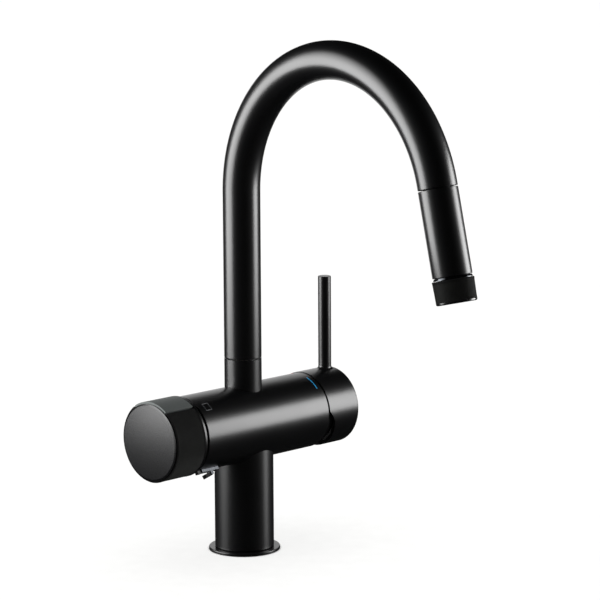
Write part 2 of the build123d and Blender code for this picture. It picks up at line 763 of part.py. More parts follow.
def cartridge_dome():
    """Black cover under the lever cap: a sleeve in the body's mouth, then part of a ball."""
    inner_r = DOME_R - DOME_WALL
    sleeve_end = PIVOT_X - BLOCK_RIGHT
    place = BODY * Pos(0, 0, PIVOT_X)
    sleeve = ring(place, DOME_R, inner_r, -sleeve_end, 0)
    ball = Sphere(DOME_R) - Sphere(inner_r)
    return sleeve + place * (ball & rod(DECK, DOME_R, 0, DOME_REACH))


def stem_carrier():
    bore = CARTRIDGE_CAVITY - CARTRIDGE_WALL
    lip_low = CARTRIDGE_TOP - CARTRIDGE_LIP
    solid = rod(BODY, CARTRIDGE_CAVITY - RUN, CARRIER_FLOOR, lip_low - RUN)
    solid += rod(BODY, bore - RUN, lip_low - RUN, PIVOT_X + CARRIER_TOP)
    length = PIVOT_X + CARRIER_TOP - CARRIER_FLOOR
    middle = CARRIER_FLOOR + length / 2
    width = STEM_SQUARE + 2 * SLACK
    solid -= block(BODY, (CARRIER_SLOT, width, length), (0, 0, middle))
    return solid - rod(PIVOT, PIVOT_PIN_R + FIT, -bore, bore)


def stem_pin():
    reach = CARTRIDGE_CAVITY - CARTRIDGE_WALL - 2 * SLACK
    return rod(PIVOT, PIVOT_PIN_R, -reach, reach)


# Mixer lever

def cartridge_stem():
    ball = BODY * Pos(0, 0, PIVOT_X - BALL_ARM) * Sphere(BALL_R)
    start = PIVOT_X - STEM_SQUARE_ARM
    shank = rod(BODY, STEM_SHANK_R, PIVOT_X - BALL_ARM, start)
    length = STEM_END - start
    middle = start + length / 2
    square = block(BODY, (STEM_SQUARE, STEM_SQUARE, length), (0, 0, middle))
    return ball + shank + square - rod(PIVOT, PIVOT_PIN_R + RUN, -STEM_SQUARE, STEM_SQUARE)


def notch():
    """Side view of what is cut from the cap so that it can tilt past the body's end."""
    low = -CAP_R - 1
    corners = (
        (0, NOTCH_TOP),
        (CAP_START, NOTCH_TOP),
        (CAP_START + NOTCH_MID, NOTCH_MID_Z),
        (CAP_START + NOTCH_LOW, -CAP_R),
        (CAP_START + NOTCH_LOW, low),
        (0, low),
    )
    face = Pos(0, 0, BODY_Z) * (Plane.XZ * make_face(Polyline(*corners, close=True)))
    return extrude(face, CAP_R + 1, both=True)


def lever_cap():
    """Cup over the dome, with the hub for the stem and the boss of the lever pin."""
    cap = rod(BODY, CAP_R, CAP_START, CAP_END)
    cap = fillet(edges_at(cap, BODY, CAP_R, CAP_END), CAP_ROUND)
    boss_top = CAP_R + LEVER_BOSS
    cap += rod(LEVER, LEVER_R, 0, boss_top)
    on_body = ShapeList()
    for edge in cap.edges():
        box = edge.bounding_box()
        if box.min.Z > BODY_Z + CAP_R - 1 and box.max.Z < BODY_Z + CAP_R + 0.1:
            if box.size.X > LEVER_R:
                on_body.append(edge)
    cap = fillet(on_body, LEVER_FLARE)
    cap -= rod(BODY, CAP_BORE, CAP_START, HUB_END)
    cap += rod(BODY, HUB_R, HUB_START, HUB_END)
    cap += rod(LEVER, LEVER_POST_R, 0, CAP_BORE + CAP_SKIN / 2) & rod(BODY, CAP_R, 0, CAP_END)
    cap -= rod(LEVER, LEVER_THREAD_R + FIT, boss_top - LEVER_BOSS - LEVER_THREAD, boss_top)
    side = STEM_SQUARE + 2 * FIT
    depth = STEM_END + FIT - HUB_START
    cap -= block(BODY, (side, side, depth), (0, 0, HUB_START + depth / 2))
    cap -= rod(GRUB, GRUB_R, 0, HUB_R)
    cap -= rod(GRUB, GRUB_ACCESS_R, HUB_R, CAP_R)
    return cap - notch()


def lever_pin():
    boss_top = CAP_R + LEVER_BOSS
    pin = rod(LEVER, LEVER_R, boss_top, LEVER_REACH)
    pin = fillet(edges_at(pin, LEVER, LEVER_R, LEVER_REACH), LEVER_ROUND)
    return pin + rod(LEVER, LEVER_THREAD_R, boss_top - LEVER_BOSS - LEVER_THREAD, boss_top)


def lever_screw():
    start = STEM_SQUARE / 2 + FIT
    screw = rod(GRUB, GRUB_R - FIT, start, HUB_R - FIT)
    hex_socket = extrude(RegularPolygon(GRUB_R / 2, 6), -GRUB_R / 2)
    return screw - GRUB * Pos(0, 0, HUB_R - FIT) * hex_socket


# Filter valve

def filter_headpart():
    """Screwed into the block: it holds the discs and carries the spindle."""
    neck = BLOCK_LEFT + HEADPART_FLANGE
    solid = rod(KNOB, FILTER_BORE_R - FIT, FILTER_SEAT, BLOCK_LEFT)
    hexagon = extrude(RegularPolygon(HEADPART_FLANGE_R, 6), HEADPART_FLANGE)
    solid += KNOB * Pos(0, 0, BLOCK_LEFT) * hexagon
    solid += rod(KNOB, HEADPART_NECK_R, neck, HEADPART_END)
    solid -= rod(KNOB, FILTER_DISC_R + SLACK, FILTER_SEAT, FILTER_SEAT + FILTER_CAVITY)
    return solid - rod(KNOB, SPINDLE_R + RUN, FILTER_SEAT, HEADPART_END)


def filter_disc_fixed():
    end = FILTER_SEAT + FILTER_DISC_H
    disc = rod(KNOB, FILTER_DISC_R + SLACK - FIT, FILTER_SEAT, end)
    return disc - spread(KNOB, 4, FILTER_HOLE_CIRCLE, FILTER_HOLE_R, FILTER_SEAT, end)


def filter_disc_turning():
    start = FILTER_SEAT + FILTER_DISC_H + FIT
    end = start + FILTER_DISC_H
    disc = rod(KNOB, FILTER_DISC_R, start, end)
    outer = FILTER_HOLE_CIRCLE + FILTER_HOLE_R
    inner = FILTER_HOLE_CIRCLE - FILTER_HOLE_R
    return disc - sector(KNOB, outer, inner, start, start + FILTER_DISC_H / 2, 0, 90)


def filter_spindle():
    start = FILTER_SEAT + 2 * FILTER_DISC_H + FIT
    collar_end = start + SPINDLE_COLLAR
    end = HUB_WEB_END
    solid = rod(KNOB, SPINDLE_COLLAR_R, start, collar_end)
    solid += rod(KNOB, SPINDLE_R, collar_end, end)
    return solid - rod(KNOB, KNOB_SCREW_R + FIT, end - KNOB_SCREW_LENGTH, end)


def knob_seat_ring():
    start = HEADPART_END - SEAT_RING_H
    return ring(KNOB, SHELL_BORE - FIT, HEADPART_NECK_R + FIT, start, HEADPART_END)


# Filter knob

def knob_hub():
    rim = KNOB_BORE - FIT
    face_seat = KNOB_GROOVE - KNOB_FACE_PLUG
    hub = ring(KNOB, rim, rim - HUB_RIM, KNOB_START, face_seat)
    hub += ring(KNOB, rim, SPINDLE_R + FIT, HUB_WEB_START, HUB_WEB_END)
    return hub + ring(KNOB, HUB_BOSS_R, SPINDLE_R + FIT, KNOB_START, HUB_WEB_START)


def knob_screw():
    start = HUB_WEB_END
    head = rod(KNOB, KNOB_SCREW_HEAD_R, start, start + KNOB_SCREW_HEAD)
    shank = rod(KNOB, KNOB_SCREW_R, start - KNOB_SCREW_LENGTH + 1, start)
    drive = extrude(RegularPolygon(KNOB_SCREW_R, 6), -KNOB_SCREW_R)
    return head + shank - KNOB * Pos(0, 0, start + KNOB_SCREW_HEAD) * drive


def panel_half_angle(gap):
    return KNOB_PANEL_ANGLE + math.degrees(gap / KNOB_R)


def knob_sleeve():
    start = KNOB_START + KNOB_RING
    sleeve = ring(KNOB, KNOB_R, KNOB_BORE, start, KNOB_GROOVE)
    half = panel_half_angle(KNOB_PANEL_GAP)
    return sleeve - sector(KNOB, KNOB_R + 1, KNOB_BORE - 1, start, KNOB_GROOVE, -half, half)


def knob_panel():
    start = KNOB_START + KNOB_RING + KNOB_PANEL_END_GAP
    half = panel_half_angle(0)
    return sector(KNOB, KNOB_R, KNOB_BORE, start, KNOB_GROOVE, -half, half)


def knob_rear_ring():
    end = KNOB_START + KNOB_RING
    rear = ring(KNOB, KNOB_R, KNOB_BORE, KNOB_START, end)
    return fillet(edges_at(rear, KNOB, KNOB_R, KNOB_START), KNOB_RING_ROUND)


def knob_face():
    """Round plate on the knob's end, with a groove behind its bevelled rim."""
    plug_start = KNOB_GROOVE - KNOB_FACE_PLUG
    rim_start = KNOB_GROOVE + KNOB_GROOVE_WIDTH
    bevel_start = KNOB_END - KNOB_BEVEL
    corners = (
        (0, plug_start),
        (KNOB_BORE - FIT, plug_start),
        (KNOB_BORE - FIT, KNOB_GROOVE),
        (KNOB_WAIST_R, KNOB_GROOVE),
        (KNOB_WAIST_R, rim_start),
        (KNOB_FACE_R, rim_start),
        (KNOB_FACE_R, bevel_start),
        (KNOB_FACE_R - KNOB_BEVEL_IN, KNOB_END),
        (0, KNOB_END),
    )
    return turned(KNOB, *corners)


# Catch

def catch_pin_place():
    """The catch's hinge line, across the strip."""
    return CATCH * Pos(CATCH_PIN_SHIFT, 0, CATCH_H + CATCH_PIN_RISE) * Rot(90, 0, 0)


def catch_bracket():
    """Silver strip on the body's underside, with two ears for the hinge pin."""
    strip = block(CATCH, (CATCH_LENGTH, CATCH_WIDTH, CATCH_H + 1), (0, 0, (CATCH_H - 1) / 2))
    inner = CATCH_BARREL / 2 + SLACK
    middle = inner + CATCH_EAR / 2
    for side in (-1, 1):
        place = catch_pin_place() * Pos(0, 0, side * middle)
        strip += place * Cylinder(CATCH_EAR_R, CATCH_EAR)
        foot = (2 * CATCH_EAR_R, CATCH_EAR, CATCH_PIN_RISE + CATCH_H / 2)
        lift = CATCH_H + CATCH_PIN_RISE - foot[2] / 2
        strip += block(CATCH, foot, (CATCH_PIN_SHIFT, side * middle, lift))
    strip -= catch_pin_place() * Cylinder(CATCH_PIN_R + FIT / 2, CATCH_WIDTH)
    return strip - body_cylinder(BODY_R + BOND)


def catch_pin():
    length = CATCH_BARREL + 2 * SLACK + 2 * CATCH_EAR + 2 * FIT
    return catch_pin_place() * Cylinder(CATCH_PIN_R, length)


def catch_paddle():
    """Black paddle on the hinge pin, drooping a little from the strip."""
    place = catch_pin_place() * Rot(0, 0, PADDLE_DROOP)
    barrel = Cylinder(CATCH_BARREL_R, CATCH_BARREL)
    web = Pos(PADDLE_START / 2 + 0.5, 0, 0) * Box(PADDLE_START + 1, CATCH_BARREL_R, CATCH_BARREL)
    length = PADDLE_END - PADDLE_START
    blade = Pos(PADDLE_START + length / 2, 0, 0) * Box(length, PADDLE_H, PADDLE_WIDTH)
    paddle = place * (barrel + web + blade)
    return paddle - place * Cylinder(CATCH_PIN_R + RUN, PADDLE_WIDTH)


def catch_nub():
    shift = CATCH_X - NUB_X
    nub = block(CATCH, (NUB_LENGTH, NUB_WIDTH, NUB_H + 1), (shift, 0, (NUB_H - 1) / 2))
    return nub - body_cylinder(BODY_R + BOND)


PIECES = [
    base_flange, base_gasket, column, stud_ring,
    body_shell, valve_block, hose_guide,
    spout_socket, swivel_stop_screw, spout_spigot, swivel_bushes, swivel_seals,
    spout_tube, dock_ring, spray_hose, filter_tube, hose_tail,
    head_neck, hose_connector, check_valve, head_core, head_shell, trim_ring,
    filter_nozzle, collar_clip, spray_collar, aerator_housing, aerator_screens,
    cartridge_housing, cartridge_seals, cartridge_disc_fixed, cartridge_disc_moving,
    disc_driver, cartridge_nut, cartridge_dome, stem_carrier, stem_pin,
    cartridge_stem, lever_cap, lever_pin, lever_screw,
    filter_headpart, filter_disc_fixed, filter_disc_turning, filter_spindle,
    knob_seat_ring, knob_hub, knob_screw, knob_sleeve, knob_panel, knob_rear_ring, knob_face,
    catch_bracket, catch_pin, catch_paddle, catch_nub,
]

os.makedirs("parts", exist_ok=True)
for piece in PIECES:
    export_step(piece(), f"parts/{piece.__name__}.step")
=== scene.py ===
import math

import bpy
import numpy as np
from mathutils import Matrix, Vector


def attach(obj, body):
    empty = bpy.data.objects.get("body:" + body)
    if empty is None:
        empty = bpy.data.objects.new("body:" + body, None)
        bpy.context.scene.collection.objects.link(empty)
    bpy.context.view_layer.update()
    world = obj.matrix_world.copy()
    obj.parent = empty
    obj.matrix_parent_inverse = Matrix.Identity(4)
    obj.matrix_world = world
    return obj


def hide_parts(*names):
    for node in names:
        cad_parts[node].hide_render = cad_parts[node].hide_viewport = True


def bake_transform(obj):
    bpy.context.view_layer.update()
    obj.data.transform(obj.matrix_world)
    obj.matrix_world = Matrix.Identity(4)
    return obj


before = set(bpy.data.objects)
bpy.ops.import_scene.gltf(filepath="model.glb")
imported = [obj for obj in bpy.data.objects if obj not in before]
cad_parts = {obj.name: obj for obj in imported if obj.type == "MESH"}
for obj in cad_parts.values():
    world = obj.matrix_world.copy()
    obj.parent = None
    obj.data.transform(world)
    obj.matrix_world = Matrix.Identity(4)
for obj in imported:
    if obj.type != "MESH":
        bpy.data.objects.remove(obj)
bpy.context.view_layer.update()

# Camera
# The photograph was taken from about 2.1 m away with a long lens, in front of the tap and to
# the knob's side, looking ten degrees down. The place and the lens come from fitting the edges.
CAMERA_PLACE = Vector((-1.42365, -1.48688, 0.55179))
CAMERA_YAW = math.radians(44.95)
CAMERA_PITCH = math.radians(9.969)
CAMERA_ROLL = math.radians(-0.309)
FOCAL_PIXELS = 2803.23
PICTURE_PIXELS = 600
SENSOR_WIDTH = 36.0

camera_data = bpy.data.cameras.new("camera")
camera_data.sensor_width = SENSOR_WIDTH
camera_data.lens = SENSOR_WIDTH * FOCAL_PIXELS / PICTURE_PIXELS
camera = bpy.data.objects.new("camera", camera_data)
turn = Matrix.Rotation(-CAMERA_YAW, 4, "Z") @ Matrix.Rotation(math.pi / 2 - CAMERA_PITCH, 4, "X")
camera.matrix_world = Matrix.Translation(CAMERA_PLACE) @ turn @ Matrix.Rotation(CAMERA_ROLL, 4, "Z")
bpy.context.scene.collection.objects.link(camera)
bpy.context.scene.camera = camera
bpy.context.scene.view_settings.view_transform = "Standard"


# Studio
# A round pale table under an even light from above, and a pale surround. Two tall soft boxes
# stand left and right of the tap: they draw the long soft highlights on the black coat. The
# rest that the tap mirrors is black cloth, apart from a low lit card behind it. Smaller cards
# each light one piece that the boxes leave flat, and each light has its list of pieces.
TABLE_RADIUS = 9.0
TABLE_SIDES = 128
TABLE_HEIGHT = -0.0002
TABLE_COLOUR = "f8f8f7"
TABLE_GRAIN_COLOUR = "f1f1f0"
TABLE_GRAIN_WIDTH = 1000 / 60
SURROUND_COLOUR = "ffffff"
OVERHEAD_STRENGTH = 3.6
OVERHEAD_SPREAD = math.radians(100)
RIGHT_SIDE = 94  # degrees from the camera's direction, as soft_box counts them
LEFT_SIDE = -85
BOX_DISTANCE = 1.0
BACK_DISTANCE = 0.45
NEAR_DISTANCE = 0.28
CLOTH_GLOW = 0.012


def linear(code):
    """An sRGB hex code as the linear colour that Blender's sockets hold."""
    channels = np.array([int(code[k:k + 2], 16) for k in (0, 2, 4)]) / 255
    bent = ((channels + 0.055) / 1.055) ** 2.4
    return (*np.where(channels <= 0.04045, channels / 12.92, bent), 1.0)


def add(tree, kind, inputs=None, **settings):
    """One node in a tree: settings are its own, inputs are values or another node's outputs."""
    made = tree.nodes.new(kind)
    for name, value in settings.items():
        setattr(made, name, value)
    for place, value in (inputs or {}).items():
        if isinstance(value, bpy.types.NodeSocket):
            tree.links.new(value, made.inputs[place])
        else:
            made.inputs[place].default_value = value
    return made


def finish(name, colour, roughness, metallic=0.0):
    """A new material with one shader in it, ready for its pattern nodes."""
    material = bpy.data.materials.new(name)
    material.use_nodes = True
    shader = material.node_tree.nodes["Principled BSDF"]
    shader.inputs["Base Color"].default_value = linear(colour)
    shader.inputs["Roughness"].default_value = roughness
    shader.inputs["Metallic"].default_value = metallic
    return material, material.node_tree, shader


table_paint, tree, shader = finish("pale_table_paint", TABLE_COLOUR, 0.9)
where = add(tree, "ShaderNodeTexCoord")
grain = add(
    tree, "ShaderNodeTexNoise",
    {"Vector": where.outputs["Object"], "Scale": 1000 / TABLE_GRAIN_WIDTH, "Detail": 4.0},
)
tint = add(tree, "ShaderNodeMix", {"Factor": grain.outputs["Fac"]}, data_type="RGBA")
tint.inputs["A"].default_value = linear(TABLE_COLOUR)
tint.inputs["B"].default_value = linear(TABLE_GRAIN_COLOUR)
tree.links.new(tint.outputs["Result"], shader.inputs["Base Color"])
shader.inputs["Specular IOR Level"].default_value = 0.1

bearing = np.linspace(0, 2 * np.pi, TABLE_SIDES, endpoint=False)
rim = np.stack([
    TABLE_RADIUS * np.cos(bearing), TABLE_RADIUS * np.sin(bearing), TABLE_HEIGHT + 0 * bearing
], -1)
table_mesh = bpy.data.meshes.new("table_top")
table_mesh.from_pydata(rim.tolist(), [], [list(range(TABLE_SIDES))])
table_mesh.materials.append(table_paint)
table_top = bpy.data.objects.new("table_top", table_mesh)
table_top.visible_glossy = False
table_top.visible_shadow = False
bpy.context.scene.collection.objects.link(table_top)


def listed(name, *objects, state="INCLUDE"):
    """A light's list of the objects it lights or is blocked by, or that it leaves out."""
    made = bpy.data.collections.new(name)
    for thing in objects:
        made.objects.link(thing)
    for entry in made.collection_objects:
        entry.light_linking.link_state = state
    return made


plate, column, flange = (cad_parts[name] for name in ("knob_face", "column", "base_flange"))
all_but_table = listed("not_the_table", table_top, state="EXCLUDE")
low_pieces = listed("column_and_flange", column, flange)
overhead_pieces = listed("table_and_knurls", table_top)
collar_alone = listed("collar_alone")
sleeve_alone = listed("sleeve_alone")

overhead_data = bpy.data.lights.new("overhead", "SUN")
overhead_data.energy = OVERHEAD_STRENGTH
overhead_data.angle = OVERHEAD_SPREAD
overhead = bpy.data.objects.new("overhead", overhead_data)
overhead.light_linking.receiver_collection = overhead_pieces
overhead.light_linking.blocker_collection = listed("flange_alone", flange)
bpy.context.scene.collection.objects.link(overhead)


def soft_box(name, side_angle, distance, middle, width, height, radiance, lights, fade=0.0):
    """A glowing rectangle that stands upright at an angle from the camera's direction, positive
    to the camera's right, and lights the pieces of one list. Its power is the radiance times pi
    times its area. The top part of it, fade of its height, dims evenly to nothing."""
    level = Vector((CAMERA_PLACE.x, CAMERA_PLACE.y, 0)).normalized()
    place = Matrix.Rotation(math.radians(side_angle), 3, "Z") @ level * distance
    place.z = middle
    data = bpy.data.lights.new(name, "AREA")
    data.shape = "RECTANGLE"
    data.size = width
    data.size_y = height
    data.energy = radiance * math.pi * width * height
    if fade:
        data.use_nodes = True
        tree = data.node_tree
        spot = add(tree, "ShaderNodeNewGeometry")
        split = add(tree, "ShaderNodeSeparateXYZ", {"Vector": spot.outputs["Parametric"]})
        dim = add(
            tree, "ShaderNodeMapRange",
            {"Value": split.outputs["Y"], "From Min": 1 - fade, "From Max": 1.0, "To Min": 1.0,
             "To Max": 0.0},
        )
        tree.links.new(dim.outputs[0], tree.nodes["Emission"].inputs["Strength"])
    box = bpy.data.objects.new(name, data)
    box.location = place
    box.rotation_euler = Vector((-place.x, -place.y, 0)).to_track_quat("-Z", "Y").to_euler()
    box.visible_camera = False
    box.light_linking.receiver_collection = lights
    bpy.context.scene.collection.objects.link(box)


soft_box(
    "right_soft_box", RIGHT_SIDE, BOX_DISTANCE, middle=0.305, width=0.54, height=0.59,
    radiance=11.5, lights=all_but_table,
)
soft_box(
    "left_soft_box", LEFT_SIDE, BOX_DISTANCE, middle=0.62, width=0.85, height=1.32, radiance=11.0,
    lights=listed("not_the_end_plate", table_top, plate, state="EXCLUDE"), fade=0.6,
)
soft_box(
    "back_card", side_angle=180, distance=BACK_DISTANCE, middle=0.22, width=0.32, height=0.36,
    radiance=1.1, lights=all_but_table,
)
# A card near the knob makes its end plate brightest at the upper right.
soft_box(
    "plate_card", side_angle=-67, distance=NEAR_DISTANCE, middle=0.131, width=0.15, height=0.135,
    radiance=8.4, lights=listed("end_plate_alone", plate),
)
# Below the boxes, dimmer cards carry the column's two bands down to its foot.
soft_box(
    "right_low_card", RIGHT_SIDE, BOX_DISTANCE, middle=-0.13, width=0.35, height=0.26,
    radiance=2.6, lights=low_pieces,
)
soft_box(
    "left_low_card", LEFT_SIDE, BOX_DISTANCE, middle=-0.18, width=0.5, height=0.3, radiance=0.9,
    lights=low_pieces,
)
# The knurled collar and sleeve also take light from low down.
for side_angle in (RIGHT_SIDE, LEFT_SIDE):
    soft_box(
        "collar_card", side_angle, BOX_DISTANCE, middle=-0.25, width=0.5, height=0.5,
        radiance=8.0, lights=collar_alone,
    )
soft_box(
    "sleeve_card", side_angle=45, distance=NEAR_DISTANCE, middle=-0.45, width=0.3, height=0.3,
    radiance=42.0, lights=sleeve_alone,
)

# The surround is pale to look at. What the tap mirrors of it is the black cloth.
world = bpy.data.worlds.new("surround")
world.use_nodes = True
bpy.context.scene.world = world
sky = world.node_tree
sky.nodes.clear()
cloth = add(sky, "ShaderNodeBackground", {"Color": linear("ffffff"), "Strength": CLOTH_GLOW})
seen = add(sky, "ShaderNodeBackground", {"Color": linear(SURROUND_COLOUR), "Strength": 1.0})
ray = add(sky, "ShaderNodeLightPath")
choice = add(
    sky, "ShaderNodeMixShader",
    {0: ray.outputs["Is Camera Ray"], 1: cloth.outputs[0], 2: seen.outputs[0]},
)
add(sky, "ShaderNodeOutputWorld", {"Surface": choice.outputs[0]})


# Foot flange, column, body, socket and the other outer metal
# Brass and zinc castings and tubes, turned and then coated with a satin black powder: smooth to
# the touch, with a faint orange peel about a millimetre wide that softens every highlight.
PEEL_WIDTH = 1.1
PEEL_DEPTH = 0.0012
DRIFT_WIDTH = 35.0


def dress(material, *names):
    """Gives CAD pieces a finish through their objects' material slots."""
    for name in names:
        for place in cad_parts[name].material_slots:
            place.link = "OBJECT"
            place.material = material


black_coat, tree, shader = finish("satin_black_powder_coat", "060607", 0.30)
where = add(tree, "ShaderNodeTexCoord")
peel = add(
    tree, "ShaderNodeTexNoise",
    {"Vector": where.outputs["Object"], "Scale": 1000 / PEEL_WIDTH, "Detail": 2.0},
)
lift = add(
    tree, "ShaderNodeBump",
    {"Height": peel.outputs["Fac"], "Strength": 0.35, "Distance": PEEL_DEPTH / 1000},
)
tree.links.new(lift.outputs["Normal"], shader.inputs["Normal"])
# The powder lies a little thicker here and thinner there, so the sheen wanders over a few
# centimetres.
drift = add(
    tree, "ShaderNodeTexNoise",
    {"Vector": where.outputs["Object"], "Scale": 1000 / DRIFT_WIDTH, "Detail": 3.0},
)
sheen = add(
    tree, "ShaderNodeMapRange", {"Value": drift.outputs["Fac"], "To Min": 0.27, "To Max": 0.33}
)
tree.links.new(sheen.outputs[0], shader.inputs["Roughness"])
dress(
    black_coat, "base_flange", "column", "body_shell", "spout_socket", "lever_cap", "lever_pin",
    "knob_rear_ring", "spout_spigot",
)

# Rubber: the foot's gasket, the swivel's O-rings, the cartridge's three seals, the catch's nub
# Moulded nitrile rubber, dull, with the dust of talc that keeps it from sticking.
rubber, tree, shader = finish("moulded_nitrile_rubber", "1b1b1c", 0.62)
where = add(tree, "ShaderNodeTexCoord")
talc = add(tree, "ShaderNodeTexNoise", {"Vector": where.outputs["Object"], "Scale": 1000 / 2.5})
dusty = add(tree, "ShaderNodeMix", {"Factor": talc.outputs["Fac"]}, data_type="RGBA")
dusty.inputs["A"].default_value = linear("161617")
dusty.inputs["B"].default_value = linear("2a2a2b")
tree.links.new(dusty.outputs["Result"], shader.inputs["Base Color"])
dress(rubber, "base_gasket", "swivel_seals", "cartridge_seals", "catch_nub")

# Brass inside the tap: stud ring, valve block, cartridge nut, stem, filter valve, hose connector
# Low-lead brass, turned on a lathe: fine rings of tool marks, brighter on their crests.
TOOL_MARK = 0.45
WAVES_A_CELL = 20
brass, tree, shader = finish("turned_brass", "b89556", 0.32, 1.0)
where = add(tree, "ShaderNodeTexCoord")
marks = add(
    tree, "ShaderNodeTexWave",
    {"Vector": where.outputs["Object"], "Scale": 1000 / TOOL_MARK / WAVES_A_CELL, "Distortion": 1.2,
     "Detail": 2.0},
    wave_type="BANDS", bands_direction="Z",
)
worn = add(
    tree, "ShaderNodeMapRange", {"Value": marks.outputs["Fac"], "To Min": 0.26, "To Max": 0.40}
)
tree.links.new(worn.outputs[0], shader.inputs["Roughness"])
stain = add(tree, "ShaderNodeTexNoise", {"Vector": where.outputs["Object"], "Scale": 1000 / 14.0})
warm = add(tree, "ShaderNodeMix", {"Factor": stain.outputs["Fac"]}, data_type="RGBA")
warm.inputs["A"].default_value = linear("a98646")
warm.inputs["B"].default_value = linear("cbab6c")
tree.links.new(warm.outputs["Result"], shader.inputs["Base Color"])
dress(
    brass, "stud_ring", "valve_block", "cartridge_nut", "cartridge_stem", "filter_headpart",
    "filter_spindle", "hose_connector",
)

# White plastic inside: hose guide, bushes, cartridge and its carriers, check valve, knob's seat
# Natural acetal, moulded: milky, slightly waxy, with a little light under its surface.
acetal, tree, shader = finish("natural_acetal", "e6e4dc", 0.42)
shader.inputs["Subsurface Weight"].default_value = 0.15
shader.inputs["Subsurface Radius"].default_value = (0.0012, 0.0011, 0.0009)
where = add(tree, "ShaderNodeTexCoord")
flow = add(tree, "ShaderNodeTexNoise", {"Vector": where.outputs["Object"], "Scale": 1000 / 9.0})
wax = add(
    tree, "ShaderNodeMapRange", {"Value": flow.outputs["Fac"], "To Min": 0.36, "To Max": 0.48}
)
tree.links.new(wax.outputs[0], shader.inputs["Roughness"])
dress(
    acetal, "hose_guide", "swivel_bushes", "cartridge_housing", "stem_carrier", "disc_driver",
    "check_valve", "knob_seat_ring",
)

# Black plastic: dome behind the lever cap, knob hub, docking ring, head core, aerator, paddle
# Black acetal, moulded in a spark-eroded tool: a fine even grain that breaks up its gloss.
GRAIN_WIDTH = 0.5
GRAIN_DEPTH = 0.01
black_acetal, tree, shader = finish("grained_black_acetal", "0b0b0c", 0.6)
shader.inputs["Specular IOR Level"].default_value = 0.15
where = add(tree, "ShaderNodeTexCoord")
grain = add(
    tree, "ShaderNodeTexNoise",
    {"Vector": where.outputs["Object"], "Scale": 1000 / GRAIN_WIDTH, "Detail": 1.0},
)
lift = add(
    tree, "ShaderNodeBump",
    {"Height": grain.outputs["Fac"], "Strength": 0.3, "Distance": GRAIN_DEPTH / 1000},
)
tree.links.new(lift.outputs["Normal"], shader.inputs["Normal"])
dress(
    black_acetal, "cartridge_dome", "dock_ring", "head_neck", "head_core", "knob_hub",
    "aerator_housing", "catch_paddle",
)

# Ceramic discs of the two valves
# Alumina, lapped flat until it shines, cream white with faint grey clouds.
ceramic, tree, shader = finish("lapped_alumina", "e9e4d8", 0.14)
where = add(tree, "ShaderNodeTexCoord")
cloud = add(tree, "ShaderNodeTexNoise", {"Vector": where.outputs["Object"], "Scale": 1000 / 5.0})
cream = add(tree, "ShaderNodeMix", {"Factor": cloud.outputs["Fac"]}, data_type="RGBA")
cream.inputs["A"].default_value = linear("ece7db")
cream.inputs["B"].default_value = linear("dcd8cf")
tree.links.new(cream.outputs["Result"], shader.inputs["Base Color"])
dress(
    ceramic, "cartridge_disc_fixed", "cartridge_disc_moving", "filter_disc_fixed",
    "filter_disc_turning",
)

# Small steel parts: screws, the lever stem's pin, clip, nozzle, screens
# Stainless steel, brushed along its length: fine hairlines, a soft stretched shine.
HAIRLINE = 0.25
HAIR_LENGTH = 10.0
steel, tree, shader = finish("brushed_stainless_steel", "c9cacc", 0.28, 1.0)
where = add(tree, "ShaderNodeTexCoord")
stretch = add(
    tree, "ShaderNodeMapping",
    {"Vector": where.outputs["Object"],
     "Scale": (1000 / HAIR_LENGTH, 1000 / HAIRLINE, 1000 / HAIRLINE)},
)
hair = add(tree, "ShaderNodeTexNoise", {"Vector": stretch.outputs["Vector"], "Scale": 1.0})
brushed = add(
    tree, "ShaderNodeMapRange", {"Value": hair.outputs["Fac"], "To Min": 0.20, "To Max": 0.38}
)
tree.links.new(brushed.outputs[0], shader.inputs["Roughness"])
dress(
    steel, "swivel_stop_screw", "stem_pin", "lever_screw", "knob_screw", "filter_nozzle",
    "collar_clip", "aerator_screens",
)

# Catch bracket and its pin
# Stamped stainless steel strip, left as it came from the tumbling drum: dull grey, with a
# soft cloudy shine.
tumbled, tree, shader = finish("tumbled_stainless_steel", "4c4e51", 0.42, 1.0)
where = add(tree, "ShaderNodeTexCoord")
dents = add(tree, "ShaderNodeTexNoise", {"Vector": where.outputs["Object"], "Scale": 1000 / 1.6})
cloudy = add(
    tree, "ShaderNodeMapRange", {"Value": dents.outputs["Fac"], "To Min": 0.34, "To Max": 0.52}
)
tree.links.new(cloudy.outputs[0], shader.inputs["Roughness"])
dress(tumbled, "catch_bracket", "catch_pin")

# Marks on the body
# Pad-printed ink, 0.06 mm thick on the black coat: a blue bar for cold in front of the lever, a
# red bar for hot behind it, and an open grey square beside the knob.
BODY_HEIGHT = 97.0
BODY_RADIUS = 28.7
INK_BOTTOM = BODY_RADIUS - 0.03
INK_TOP = BODY_RADIUS + 0.06
INK_THINNED = 0.8
# A bar's place is along the body, its width, and its first and last angle from the front.
COLD_BAR = (57.8, 1.1, 44.0, 70.9)
HOT_BAR = (58.2, 1.1, 100.0, 128.0)
BAR_POINTS = 60
SQUARE_MIDDLE = (-53.5, 53.2)
SQUARE_SIZE = (5.8, 6.9)
SQUARE_LINE = 0.45
SQUARE_POINTS = 96


def on_body(x, angle, radius):
    """Points on a cylinder along X: the angle counts from the front, upwards."""
    turned = np.radians(angle)
    return np.stack([
        x + 0 * turned, -radius * np.cos(turned), BODY_HEIGHT + radius * np.sin(turned)
    ], -1)


